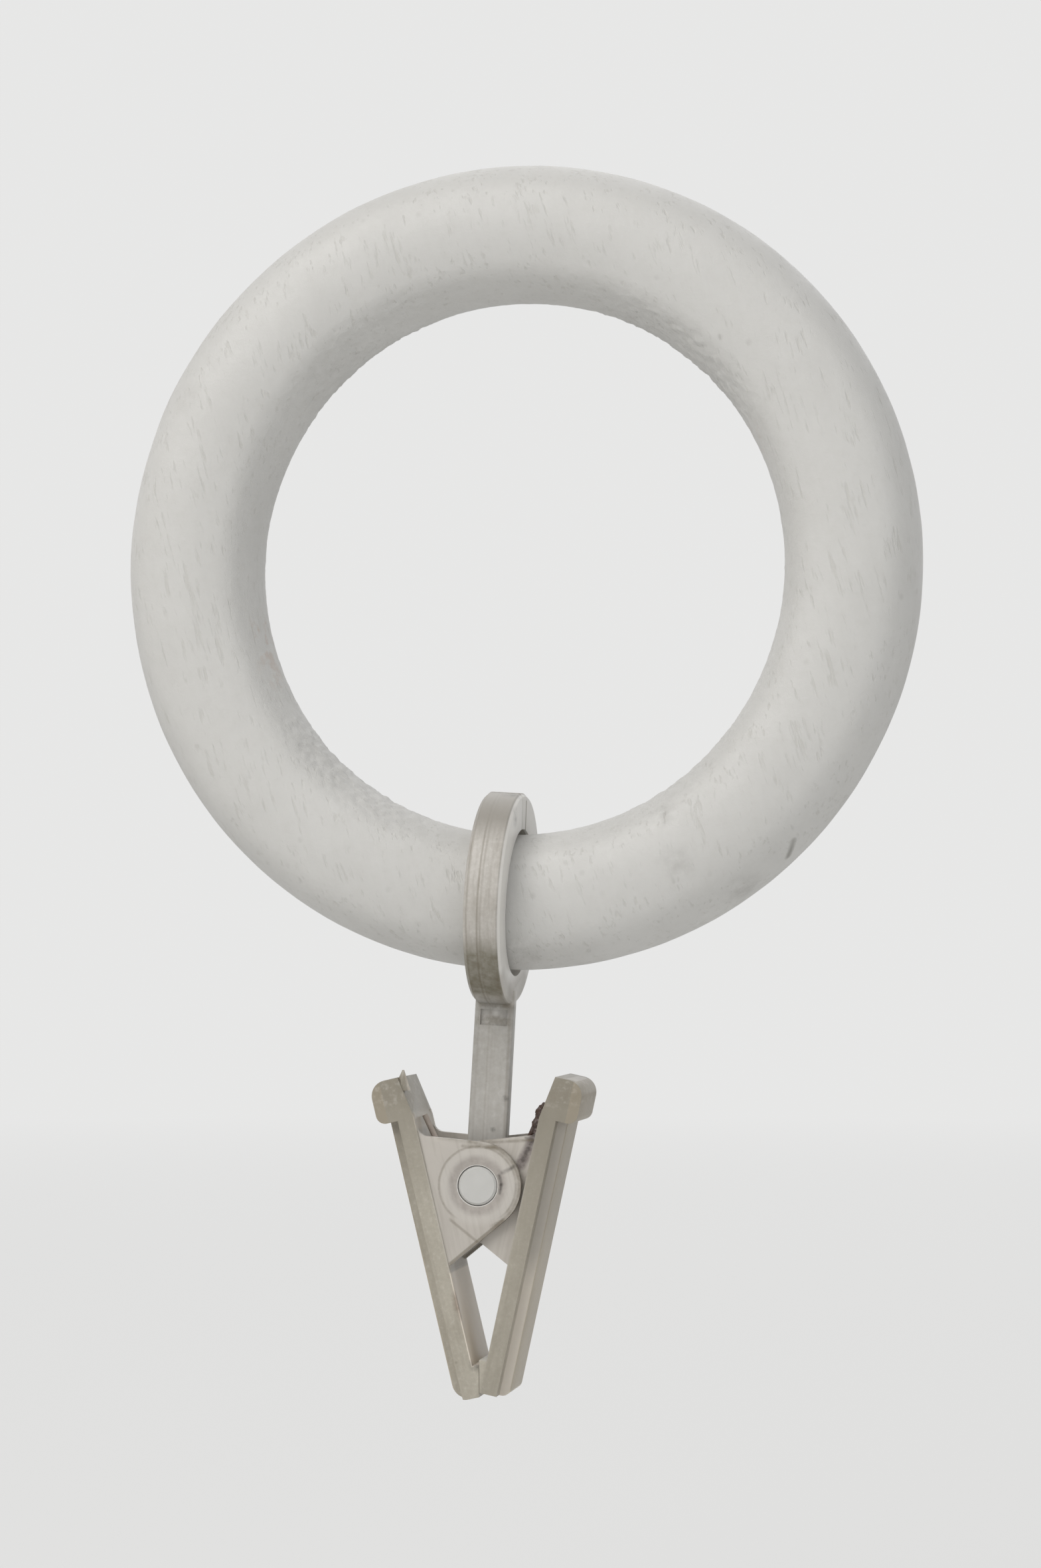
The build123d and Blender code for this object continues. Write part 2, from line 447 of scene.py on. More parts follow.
# painted wood of the ring
paint = {
    "white": (0.607, 0.601, 0.583, 1),
    "shade": (0.577, 0.570, 0.550, 1),
    "pore": (0.42, 0.405, 0.365, 1),
    "bareWood": (0.45, 0.335, 0.27, 1),
    # dirt colour, also used for the painted shade at the bore's edge
    "grimeAndShade": (0.20, 0.19, 0.17, 1),
    "roughness": 0.44,
    "grainTurn": (0, radians(15), 0),
    "poreLength": 8.0,
    "spots": {"Speck Scale": 0.55, "Smudge Scale": 0.16},
    "smudgeRoughness": 0.12,
    # noises: scale, detail and roughness
    "wear": (0.9, 6.0, 0.7),
    "torn": (2.6, 6.0, 0.7),
    "dents": (1.1, 7.0, 0.72),
    # the inner wall's marks fade out between these shares of the reach, a radius in mm
    "wallReach": 30.0,
    "wallFade": [(0.655, 1.0), (0.700, 0.0)],
    "patchy": [(0.50, 0.0), (0.60, 1.0)],
    "worn": [(0.35, 0.0), (0.65, 1.0)],
    "dented": [(0.50, 0.0), (0.75, 1.0)],
    "strength": {"pores": 0.26, "smudges": 0.06, "specks": 0.16, "bareWood": 0.42, "dents": 0.12},
    "relief": {"fibres": 0.3, "pores": -0.55, "torn": 1.3, "dents": 0.9},
    "bump": (0.55, 0.09 * mm),
    # where the bare wood shows: place, radius and softness in mm
    "bareSpots": [
        ((-18.3, -1.2, -4.6), 0.9, 1.4),
        ((-18.0, -1.2, -7.2), 0.6, 1.4),
        ((18.0, -1.5, 9.1), 0.9, 1.2),
    ],
    # dark scuffs, then a soft darker patch at the bore's lower left edge and painted shade on the inner
    # wall at the upper left: place, radius, softness, strength
    "scuffsAndShade": [
        ((13.8, -3.9, -21.3), 0.08, 0.28, 0.60),
        ((15.9, -2.2, -22.4), 0.4, 1.5, 0.34),
        ((11.7, -4.4, -20.6), 0.3, 1.3, 0.28),
        ((10.7, -3.7, -17.3), 0.2, 1.0, 0.34),
        ((0.6, -3.3, -26.6), 0.4, 1.6, 0.36),
        ((-22.8, -4.0, 12.0), 0.2, 1.2, 0.16),
        # a soft darker patch at the bore's lower left edge
        ((-13.2, -1.5, -13.3), 1.4, 2.2, 0.14),
        # painted shade on the inner wall at the upper left, which faces away from the light
        ((-13.0, -1.5, 13.2), 1.6, 2.4, 0.10),
    ],
    # thin marks: start, end, radius, softness, strength
    "lines": [
        ((19.3, -2.6, -19.0), (18.95, -1.8, -20.2), 0.07, 0.28, 0.72),
        ((10.8, -4.4, -20.2), (11.4, -4.3, -21.9), 0.03, 0.15, 0.30),
        ((12.3, -4.3, -20.9), (13.8, -3.9, -21.3), 0.02, 0.12, 0.30),
    ],
}


def paintedWood():
    material, tree, shader = newMaterial("whitePaintedWood")
    place = placed(tree)
    along = placed(tree, turn=paint["grainTurn"])
    pores = useGroup(tree, woodPores, {"Place": along, "Length": paint["poreLength"], "Amount": 1.0})
    spots = useGroup(tree, specksAndSmudges, {"Place": place, **paint["spots"]})
    radius = fromAxis(tree, partsOf(tree, place))
    innerWall = ramp(tree, combine(tree, "DIVIDE", radius, paint["wallReach"]), paint["wallFade"])
    wear = noise(tree, place, *paint["wear"])
    patchy = ramp(tree, wear, paint["patchy"])
    strength, relief = paint["strength"], paint["relief"]
    color = mixColor(tree, pores["Fibres"], paint["shade"], paint["white"])
    color = tinted(tree, color, pores["Pores"], strength["pores"], paint["pore"])
    color = tinted(tree, color, spots["Smudges"], strength["smudges"], paint["grimeAndShade"])
    color = tinted(tree, color, spots["Specks"], strength["specks"], paint["grimeAndShade"])
    for centre, size, soft in paint["bareSpots"]:
        mask = both(tree, spotMask(tree, place, centre, size, soft), patchy, innerWall)
        color = tinted(tree, color, mask, strength["bareWood"], paint["bareWood"])
    # dark scuffs, and at the bore's edge a darker patch and painted shade, broken up by the wear noise
    for centre, size, soft, amount in paint["scuffsAndShade"]:
        mask = both(tree, spotMask(tree, place, centre, size, soft), ramp(tree, wear, paint["worn"]))
        color = tinted(tree, color, mask, amount, paint["grimeAndShade"])
    for start, end, size, soft, amount in paint["lines"]:
        mask = streakMask(tree, place, start, end, size, soft)
        color = tinted(tree, color, mask, amount, paint["grimeAndShade"])
    torn = both(tree, noise(tree, place, *paint["torn"]), innerWall)
    dents = noise(tree, place, *paint["dents"])
    color = tinted(tree, color, ramp(tree, dents, paint["dented"]), strength["dents"], paint["pore"])
    tree.links.new(color, shader.inputs["Base Color"])
    height = weighted(
        tree,
        (pores["Fibres"], relief["fibres"]),
        (pores["Pores"], relief["pores"]),
        (torn, relief["torn"]),
        (dents, relief["dents"]),
    )
    bumped(tree, shader, height, *paint["bump"])
    rough = combine(tree, "MULTIPLY", spots["Smudges"], paint["smudgeRoughness"])
    tree.links.new(combine(tree, "ADD", rough, paint["roughness"]), shader.inputs["Roughness"])
    return material


# milky translucent plastic of the hanger and the jaws
plastic = {
    "band": (0.69, 0.66, 0.615, 1),
    "bandShade": (0.62, 0.59, 0.545, 1),
    "bandTop": (0.40, 0.375, 0.335, 1),
    "stem": (0.42, 0.41, 0.385, 1),
    "arm": (0.60, 0.56, 0.475, 1),
    "armShade": (0.50, 0.465, 0.39, 1),
    "armDark": (0.315, 0.285, 0.23, 1),
    "ear": (0.65, 0.61, 0.56, 1),
    "brown": (0.17, 0.135, 0.085, 1),
    "olive": (0.155, 0.135, 0.075, 1),
    "rust": (0.16, 0.075, 0.04, 1),
    # soot, also used for the painted shade of the gap by the pin
    "sootAndShade": (0.035, 0.025, 0.02, 1),
    "purple": (0.17, 0.13, 0.13, 1),
    "pale": (0.90, 0.88, 0.84, 1),
    "warmPale": (0.95, 0.865, 0.755, 1),
    "warmSide": (0.565, 0.475, 0.345, 1),
    "roughness": 0.29,
    "scratchRoughness": 0.14,
    "seeThrough": 0.26,
    "ior": 1.49,
    "spots": {"Speck Scale": 1.3, "Smudge Scale": 0.35},
    # noises: scale, detail and roughness
    "haze": (0.75, 4.0, 0.6),
    "grit": (3.2, 5.0, 0.7),
    "scratch": (4.0, 4.0),
    "flow": (1.0, 4.0),
    "gritDark": [(0.42, 0.0), (0.68, 1.0)],
    "gritPale": [(0.30, 1.0), (0.44, 0.0)],
    "strength": {"smudges": 0.14, "gritDark": 0.16, "gritPale": 0.22, "specks": 0.35},
    "relief": {"haze": 0.8, "scratch": 0.2},
    "bump": (0.3, 0.05 * mm),
}


def milkyPlastic(name, light, dark):
    # the common part: cloudy colour, partly seen through, with the soft waves of moulded plastic
    material, tree, shader = newMaterial(name)
    place = placed(tree)
    strength, relief = plastic["strength"], plastic["relief"]
    spots = useGroup(tree, specksAndSmudges, {"Place": place, **plastic["spots"]})
    haze = noise(tree, place, *plastic["haze"])
    grit = noise(tree, place, *plastic["grit"])
    color = mixColor(tree, haze, dark, light)
    color = tinted(tree, color, spots["Smudges"], strength["smudges"], plastic["brown"])
    for key, tint in (("gritDark", "brown"), ("gritPale", "pale")):
        color = tinted(tree, color, ramp(tree, grit, plastic[key]), strength[key], plastic[tint])
    color = tinted(tree, color, spots["Specks"], strength["specks"], plastic["brown"])
    shader.inputs["Transmission Weight"].default_value = plastic["seeThrough"]
    shader.inputs["IOR"].default_value = plastic["ior"]
    scratch = noise(tree, place, *plastic["scratch"])
    rough = combine(tree, "MULTIPLY", scratch, plastic["scratchRoughness"])
    tree.links.new(combine(tree, "ADD", rough, plastic["roughness"]), shader.inputs["Roughness"])
    wave = weighted(tree, (haze, relief["haze"]), (scratch, relief["scratch"]))
    return material, tree, shader, place, color, wave


def finishPlastic(tree, shader, color, height):
    tree.links.new(color, shader.inputs["Base Color"])
    bumped(tree, shader, height, *plastic["bump"])


# marks on the hanger, across and along it in mm
hangerMarks = {
    # lines along it and across it: middle, half width, softness and strength
    "partingLines": [(-0.28, 0.02, 0.09, 0.42), (-0.05, 0.02, 0.10, 0.20), (-1.02, 0.02, 0.10, 0.30)],
    "crossLines": [(-30.45, 0.08, 0.16, 0.55), (-31.55, 0.16, 0.22, 0.50)],
    # low end, high end and softness of the parts that a tint keeps to, then the tint's own strength
    # a painted highlight along the loop's right edge, beside the ring
    "edgeHighlight": (1.14, 1.40, 0.05, 0.95),
    "topShade": (-17.6, -14.0, 1.6, 0.85),
    "loop": (-30.25, 0.0, 0.3),
    "stem": (-60.0, -30.25, 0.5, 0.70),
    "paleStem": (-46.0, -37.0, 2.5, 0.16),
    "front": (-12.0, -3.5, 1.5),
    # dirt and painted shade seen through the plastic at the front of the loop's foot
    "dirtAndShadeZone": (-29.6, -27.0, 1.4, 0.84),
    # painted light on the loop's inner wall, in the shaded gap under the ring
    "seat": (-28.7, -28.0, 0.15, 0.9),
    "seatDepth": (-3.8, 3.8, 0.4),
    "crossWidth": (-1.0, 1.1, 0.3),
    # how much of a parting line shows on the loop only, and how much everywhere
    "lineShare": (0.6, 0.4),
    "lineRelief": 0.5,
    # a noise, then what shows of it; the flow is stretched first
    "ragged": (1.9, 5.0, 0.65),
    "raggedEdge": [(0.36, 0.15), (0.60, 1.0)],
    "cloudy": [(0.25, 0.55), (0.70, 1.0)],
    "blotches": ([(0.44, 0.0), (0.62, 1.0)], 0.16),
    "clearPatches": ([(0.32, 1.0), (0.44, 0.0)], 0.14),
    "flow": ((4.5, 1.0, 0.35), [(0.45, 0.0), (0.70, 1.0)], 0.22),
    "glint": 0.6,
    # the slit's dark edge, the shade at the loop's foot and the faint lines down the stem:
    # start, end, radius, softness and strength
    "streaks": [
        ((1.3, 0.45, -16.2), (1.3, 0.65, -18.2), 0.07, 0.12, 0.90),
        ((1.3, -4.6, -28.6), (1.3, -0.6, -30.2), 0.35, 0.75, 0.34),
        ((1.3, -1.6, -29.5), (1.3, 3.2, -28.9), 0.50, 0.90, 0.36),
        ((1.15, -0.6, -31.2), (1.20, -0.6, -40.0), 0.02, 0.12, 0.30),
        ((-0.7, -7.3, -27.0), (-0.6, -5.2, -29.6), 0.05, 0.30, 0.45),
        ((0.6, -7.2, -27.6), (0.5, -4.6, -30.0), 0.05, 0.40, 0.45),
    ],
    # painted glints: place, radius and softness
    "glints": [
        ((-0.75, -7.35, -25.1), 0.05, 0.10),
        ((-0.30, -7.35, -25.4), 0.05, 0.12),
        ((0.10, -7.35, -25.2), 0.05, 0.10),
        ((-0.1, -7.35, -24.9), 0.03, 0.09),
        ((0.1, -0.5, -31.0), 0.05, 0.3),
    ],
    # on the stem and, the last two, at the loop's slit: place, radius, softness and strength
    "spots": [
        ((1.15, -0.5, -36.9), 0.08, 0.22, 0.6),
        ((0.4, -0.5, -39.1), 0.06, 0.18, 0.6),
        ((0.3, -6.0, -29.5), 0.3, 0.8, 0.35),
        ((0.6, -1.8, -16.0), 0.1, 0.7, 0.6),
        ((1.2, -3.4, -17.4), 0.15, 0.7, 0.55),
    ],
}


def flowMarks(tree, color, place, flow):
    # long streaks where the plastic flowed into its mould
    scale, stops, strength = flow
    streaks = noise(tree, stretched(tree, place, scale), *plastic["flow"])
    return tinted(tree, color, ramp(tree, streaks, stops), strength, plastic["brown"])


def mottled(tree, color, value, mottle, mask, other):
    # a tint in patches, where a noise passes the stops
    stops, strength = mottle
    return tinted(tree, color, both(tree, mask, ramp(tree, value, stops)), strength, other)


def hangerPlastic():
    material, tree, shader, place, color, wave = milkyPlastic(
        "milkyBandPlastic", plastic["band"], plastic["bandShade"]
    )
    marks = hangerMarks
    own = placed(tree, turn=(0, -head["swing"], 0))
    across, deep, along = (partsOf(tree, own)[key] for key in "XYZ")
    ragged = noise(tree, own, *marks["ragged"])
    raggedMask = ramp(tree, ragged, marks["raggedEdge"])
    color = flowMarks(tree, color, own, marks["flow"])
    color = banded(tree, color, along, marks["stem"], plastic["stem"])
    stemOnly = between(tree, along, *marks["stem"][:3])
    color = mottled(tree, color, ragged, marks["blotches"], stemOnly, plastic["brown"])
    color = mottled(tree, color, ragged, marks["clearPatches"], stemOnly, plastic["pale"])
    color = banded(tree, color, along, marks["paleStem"], plastic["pale"])
    front = between(tree, deep, *marks["front"])
    cloudy = ramp(tree, ragged, marks["cloudy"])
    # dirt and painted shade at the front of the loop's foot, in cloudy patches
    color = banded(tree, color, along, marks["dirtAndShadeZone"], plastic["olive"], front, cloudy)
    # painted light in the shaded gap under the ring
    seatDepth = between(tree, deep, *marks["seatDepth"])
    color = banded(tree, color, along, marks["seat"], plastic["pale"], seatDepth)
    onLoop = between(tree, along, *marks["loop"])
    loopShare, everywhere = marks["lineShare"]
    lineShare = combine(tree, "ADD", combine(tree, "MULTIPLY", onLoop, loopShare), everywhere)
    lines = None
    for middle, half, soft, strength in marks["partingLines"]:
        mask = both(tree, between(tree, across, middle - half, middle + half, soft), lineShare)
        color = tinted(tree, color, mask, strength, plastic["brown"])
        lines = mask if lines is None else combine(tree, "MAXIMUM", lines, mask)
    color = banded(tree, color, along, marks["topShade"], plastic["bandTop"])
    # painted highlight along the loop's right edge
    color = banded(tree, color, across, marks["edgeHighlight"], plastic["pale"], onLoop)
    for start, end, size, soft, strength in marks["streaks"]:
        mask = streakMask(tree, own, start, end, size, soft)
        color = tinted(tree, color, mask, strength, plastic["brown"])
    crossWidth = between(tree, across, *marks["crossWidth"])
    for middle, half, soft, strength in marks["crossLines"]:
        band = (middle - half, middle + half, soft, strength)
        color = banded(tree, color, along, band, plastic["brown"], raggedMask, crossWidth)
    for centre, size, soft, strength in marks["spots"]:
        mask = both(tree, spotMask(tree, own, centre, size, soft), raggedMask)
        color = tinted(tree, color, mask, strength, plastic["sootAndShade"])
    # painted glints
    for centre, size, soft in marks["glints"]:
        mask = spotMask(tree, own, centre, size, soft)
        color = tinted(tree, color, mask, marks["glint"], plastic["pale"])
    lines = combine(tree, "MULTIPLY", lines, marks["lineRelief"])
    finishPlastic(tree, shader, color, combine(tree, "ADD", wave, lines))
    return material


# marks on the jaws, from the pin's middle and along each leaning arm, in mm; each arm darkens upwards
# from shadeFrom to shadeTo, and a stain, or the painted shade of the gap by the pin, has a start, an end,
# a radius, a softness, a strength and a tint
jawMarks = {
    "left": {
        "shadeFrom": -1.5,
        "shadeBelow": 0.0,
        "shadeAbove": 0.85,
        "landLight": 0.0,
        "stains": [
            ((-1.35, -3.1, -6.6), (-1.05, -3.1, -9.0), 0.08, 0.42, 0.55, "rust"),
            ((-1.55, -3.1, -7.6), (-1.40, -3.1, -8.4), 0.10, 0.35, 0.45, "rust"),
            ((-0.30, -3.1, -12.35), (-0.05, -3.1, -12.45), 0.10, 0.40, 0.75, "sootAndShade"),
            ((-4.9, -2.6, 4.4), (-4.3, -2.6, 3.0), 0.05, 0.40, 0.40, "rust"),
            ((-3.9, -2.6, 5.6), (-3.9, -2.6, 5.5), 0.05, 0.22, 0.50, "sootAndShade"),
            # painted shade of the gap at the pin's right side, a dark crescent
            ((1.54, -3.04, 0.70), (1.68, -3.04, 0.10), 0.03, 0.16, 0.75, "sootAndShade"),
            ((1.68, -3.04, 0.10), (1.56, -3.04, -0.50), 0.03, 0.14, 0.70, "sootAndShade"),
            ((-2.45, -3.04, 3.50), (-0.60, -3.04, 3.25), 0.04, 0.40, 0.45, "brown"),
            ((-0.55, -3.04, 3.10), (1.30, -3.04, 2.55), 0.03, 0.22, 0.50, "brown"),
            ((1.75, -3.04, 0.90), (2.60, -3.04, 1.32), 0.04, 0.16, 0.55, "sootAndShade"),
            ((-1.0, -3.04, 2.75), (2.0, -3.04, 2.60), 0.02, 0.16, 0.45, "brown"),
        ],
        # painted glints: place, radius and softness
        "glints": [
            ((-4.4, -2.9, 3.6), 0.05, 0.15),
            ((-4.2, -2.9, 3.0), 0.04, 0.12),
            ((-3.6, -2.9, 4.4), 0.04, 0.10),
        ],
    },
    "right": {
        "shadeFrom": -5.5,
        "shadeBelow": 0.32,
        "shadeAbove": 0.95,
        "landLight": 0.6,
        "stains": [
            ((3.90, -2.44, 3.25), (2.95, -2.44, 1.45), 0.24, 0.24, 0.80, "purple"),
            ((3.80, -2.44, 3.05), (3.10, -2.44, 1.75), 0.06, 0.18, 0.75, "sootAndShade"),
            ((4.05, -2.44, 3.45), (3.25, -2.44, 3.72), 0.10, 0.16, 0.80, "sootAndShade"),
            ((4.00, -2.44, 3.10), (3.35, -2.44, 3.28), 0.04, 0.12, 0.55, "sootAndShade"),
            ((0.2, -2.44, 3.10), (3.8, -2.44, 3.62), 0.02, 0.14, 0.70, "brown"),
            ((0.3, -2.44, 2.95), (3.8, -2.44, 3.12), 0.02, 0.14, 0.65, "brown"),
        ],
        # painted glints
        "glints": [((2.7, -2.4, -3.6), 0.05, 0.2), ((1.9, -2.9, -2.9), 0.04, 0.12)],
    },
    "coilRing": (1.45, 1.90, 0.35, 0.34),
    "brightRing": (2.20, 2.50, 0.40, 0.16),
    "earLine": (2.68, 2.74, 0.09, 0.46),
    "earRadius": 3.05,
    "earEdge": (2.88, 3.20, 0.12, 0.58),
    # painted shade on the arm's outer side face, with outerShade darker towards the top
    "outerSideShade": 0.45,
    "lipTop": (8.30, 12.0, 0.12, 0.55),
    # painted light in the shaded gap round the pin
    "holeEdgeLight": (1.0, 1.42, 0.06, 1.0),
    "underAngle": radians(26.0),
    # low end, high end and softness of the parts that a tint keeps to, outwards from the head's middle
    "earWidth": (-6.0, head["armInner"] - 0.1, 0.25),
    "underWidth": (-1.2, 3.1, 0.2),
    "throughWidth": (-1.3, 3.1, 0.2),
    "armInside": (1.0, head["armInner"] + 0.04, 0.05),
    "arm": (head["armInner"] + 0.05, 8.0, 0.2),
    # the sunk land along the arm's outer edge, whose shaded recess gets painted light
    "land": (head["armOuter"] - 0.68, head["armOuter"] - 0.06, 0.05),
    "outerFace": (head["armOuter"] - 0.04, 9.0, 0.05),
    "rimSide": (1.2, 4.0, 0.4),
    "landDepth": (-2.4, 2.4, 0.1),
    # and up and down, with the tint's strength where it has one of its own
    "earHeight": (-5.5, 4.5, 0.6),
    "roundPart": (-1.9, 4.0, 0.4),
    # painted light on the arm's inner faces, which lie in shade, below and above the ear
    "lowInsideLight": (-12.0, -5.5, 0.15, 0.85),
    "highInsideLight": (4.9, 12.0, 0.3, 0.75),
    "lowLand": (-16.0, -7.0, 2.5),
    "outerShade": (-2.0, 7.0, 4.0, 0.38),
    "lip": (5.8, 12.0, 0.8),
    "shadeTo": 6.5,
    # how far inside its own and the other ear's lower edge the dark line lies
    "underEdge": (-0.2, 0.16, 0.08, 0.58),
    "throughEdge": (-0.03, 0.05, 0.10, 0.40),
    "earTint": 0.9,
    "glint": 0.7,
    "ragged": (2.1, 5.0, 0.65),
    "raggedEdge": [(0.34, 0.45), (0.60, 1.0)],
    "flow": ((3.2, 1.0, 0.22), [(0.48, 0.0), (0.72, 1.0)], 0.16),
    "blotches": ([(0.40, 0.0), (0.62, 1.0)], 0.20),
    "clearPatches": ([(0.34, 1.0), (0.46, 0.0)], 0.16),
}


def fromUnderEdge(tree, outwards, height):
    # how far a point lies inside an ear's lower edge, in mm
    slope = jawMarks["underAngle"]
    inside = weighted(tree, (height, cos(slope)), (outwards, sin(slope)))
    return combine(tree, "ADD", inside, jawMarks["earRadius"])


def frontEarMarks(tree, color, outwards, leanedUp, earOnly):
    # the front ear's lower edge, the other ear's edge showing through it, and painted light on the arm's
    # inner faces, which lie in shade
    marks = jawMarks
    ownEdge = fromUnderEdge(tree, outwards, leanedUp)
    underWidth = between(tree, outwards, *marks["underWidth"])
    color = banded(tree, color, ownEdge, marks["underEdge"], plastic["brown"], underWidth)
    turn = (0, -head["tilt"] - head["lean"], 0)
    other = partsOf(tree, placed(tree, turn=turn, centre=head["pivot"]))
    otherEdge = fromUnderEdge(tree, other["X"], other["Z"])
    otherWidth = between(tree, other["X"], *marks["throughWidth"])
    color = banded(tree, color, otherEdge, marks["throughEdge"], plastic["brown"], otherWidth, earOnly)
    # painted light on the arm's inner faces, which lie in shade
    inside = between(tree, outwards, *marks["armInside"])
    for name in ("lowInsideLight", "highInsideLight"):
        color = banded(tree, color, leanedUp, marks[name], plastic["warmPale"], inside)
    return color


def jawPlastic(name, side):
    material, tree, shader, place, color, wave = milkyPlastic(name, plastic["arm"], plastic["armShade"])
    marks, own = jawMarks, jawMarks[side]
    outward = 1 if side == "right" else -1
    pinPlace = placed(tree, turn=(0, -head["tilt"], 0), centre=head["pivot"])
    parts = partsOf(tree, pinPlace)
    height = parts["Z"]
    radius = fromAxis(tree, parts)
    leaned = placed(tree, turn=(0, -head["tilt"] - outward * head["lean"], 0), centre=head["pivot"])
    leanedParts = partsOf(tree, leaned)
    leanedUp = leanedParts["Z"]
    outwards = combine(tree, "MULTIPLY", leanedParts["X"], outward)
    ragged = noise(tree, place, *marks["ragged"])
    raggedMask = ramp(tree, ragged, marks["raggedEdge"])
    earWidth = between(tree, outwards, *marks["earWidth"])
    earOnly = both(tree, earWidth, between(tree, leanedUp, *marks["earHeight"]))
    color = tinted(tree, color, earOnly, marks["earTint"], plastic["ear"])
    color = flowMarks(tree, color, leaned, marks["flow"])
    color = banded(tree, color, radius, marks["coilRing"], plastic["purple"], raggedMask)
    color = banded(tree, color, radius, marks["brightRing"], plastic["pale"])
    roundPart = between(tree, height, *marks["roundPart"])
    color = banded(tree, color, radius, marks["earLine"], plastic["brown"], raggedMask, roundPart)
    if side == "left":
        rimSide = between(tree, parts["X"], *marks["rimSide"])
        color = banded(tree, color, radius, marks["earEdge"], plastic["brown"], rimSide, raggedMask)
        color = frontEarMarks(tree, color, outwards, leanedUp, earOnly)
    reach = (own["shadeFrom"], marks["shadeTo"], own["shadeBelow"], own["shadeAbove"])
    shade = mapped(tree, height, *reach)
    armShade = both(tree, between(tree, outwards, *marks["arm"]), shade)
    color = tinted(tree, color, armShade, 1.0, plastic["armDark"])
    # painted light in the sunk land's shaded recess, and more of it lower down
    landWidth = between(tree, outwards, *marks["land"])
    land = both(tree, landWidth, between(tree, parts["Y"], *marks["landDepth"]))
    color = tinted(tree, color, land, own["landLight"], plastic["ear"])
    lowLand = both(tree, land, between(tree, height, *marks["lowLand"]))
    color = tinted(tree, color, lowLand, own["landLight"], plastic["warmPale"])
    # painted shade on the arm's outer side face, darker towards the top
    outerFace = between(tree, outwards, *marks["outerFace"])
    color = tinted(tree, color, outerFace, marks["outerSideShade"], plastic["warmSide"])
    color = banded(tree, color, height, marks["outerShade"], plastic["armDark"], outerFace)
    lipOnly = between(tree, height, *marks["lip"])
    color = mottled(tree, color, ragged, marks["blotches"], lipOnly, plastic["brown"])
    color = mottled(tree, color, ragged, marks["clearPatches"], lipOnly, plastic["pale"])
    color = banded(tree, color, height, marks["lipTop"], plastic["armDark"])
    # painted light in the shaded gap round the pin
    color = banded(tree, color, radius, marks["holeEdgeLight"], plastic["pale"])
    for start, end, size, soft, strength, kind in own["stains"]:
        mask = both(tree, streakMask(tree, pinPlace, start, end, size, soft), raggedMask)
        color = tinted(tree, color, mask, strength, plastic[kind])
    # painted glints
    for centre, size, soft in own["glints"]:
        mask = spotMask(tree, pinPlace, centre, size, soft)
        color = tinted(tree, color, mask, marks["glint"], plastic["pale"])
    finishPlastic(tree, shader, color, wave)
    return material


# smooth white plastic of the pin
pin = {
    "light": (0.56, 0.555, 0.535, 1),
    "dark": (0.50, 0.495, 0.475, 1),
    "haze": (1.1, 3.0),
    "roughness": 0.4,
    "bump": (0.15, 0.04 * mm),
}


def whitePlastic():
    material, tree, shader = newMaterial("whitePinPlastic")
    haze = noise(tree, placed(tree, centre=head["pivot"]), *pin["haze"])
    tree.links.new(mixColor(tree, haze, pin["dark"], pin["light"]), shader.inputs["Base Color"])
    shader.inputs["Roughness"].default_value = pin["roughness"]
    bumped(tree, shader, haze, *pin["bump"])
    return material


# the spring's wire, and how far from the pin it bends
wire = {
    "steel": (0.12, 0.10, 0.095, 1),
    "rust": (0.055, 0.028, 0.018, 1),
    "dust": (0.46, 0.40, 0.35, 1),
    "rusting": (2.2, 6.0, 0.7),
    "rusty": [(0.36, 0.0), (0.58, 1.0)],
    # the left leg is nearly hidden under plastic dust: sideways, upwards and how strongly
    "dustAcross": (-8.0, -1.2, 0.6),
    "dustUp": (1.6, 9.0, 0.8),
    "dusty": 0.85,
    "shine": 0.8,
    "roughness": 0.4,
    "rustRoughness": 0.4,
    "bump": (0.5, 0.04 * mm),
    "bendsWithin": 1.4 * mm,
}


def rustyWire():
    material, tree, shader = newMaterial("rustySpringWire")
    place = placed(tree, centre=head["pivot"])
    rust = noise(tree, place, *wire["rusting"])
    rusty = ramp(tree, rust, wire["rusty"])
    parts = partsOf(tree, place)
    across = between(tree, parts["X"], *wire["dustAcross"])
    dusty = both(tree, across, between(tree, parts["Z"], *wire["dustUp"]))
    color = mixColor(tree, rusty, wire["steel"], wire["rust"])
    color = tinted(tree, color, dusty, wire["dusty"], wire["dust"])
    tree.links.new(color, shader.inputs["Base Color"])
    bare = both(tree, combine(tree, "SUBTRACT", 1.0, rusty), combine(tree, "SUBTRACT", 1.0, dusty))
    tree.links.new(combine(tree, "MULTIPLY", bare, wire["shine"]), shader.inputs["Metallic"])
    rough = combine(tree, "MULTIPLY", rusty, wire["rustRoughness"])
    tree.links.new(combine(tree, "ADD", wire["roughness"], rough), shader.inputs["Roughness"])
    bumped(tree, shader, rust, *wire["bump"])
    return material


ringPaint = paintedWood()
bandPlastic = hangerPlastic()
leftPlastic = jawPlastic("milkyLeftPlastic", "left")
rightPlastic = jawPlastic("milkyRightPlastic", "right")
pinPlastic = whitePlastic()
springWire = rustyWire()
print("materials made")


def finishPiece(piece, body, nodeName, material, angle=32):
    atOrigin(piece)
    piece.data.materials.clear()
    piece.data.materials.append(material)
    takeUp(piece)
    bpy.ops.object.shade_smooth_by_angle(angle=radians(angle))
    if body:
        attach(piece, body)
    if nodeName:
        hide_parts(nodeName)
    return piece


def softenEdges(piece, width, segments, angle=35):
    bevel = piece.modifiers.new("softEdges", "BEVEL")
    bevel.width = width
    bevel.segments = segments
    bevel.limit_method = "ANGLE"
    bevel.angle_limit = radians(angle)
    bevel.use_clamp_overlap = True
    bevel.harden_normals = False
    applyAll(piece)


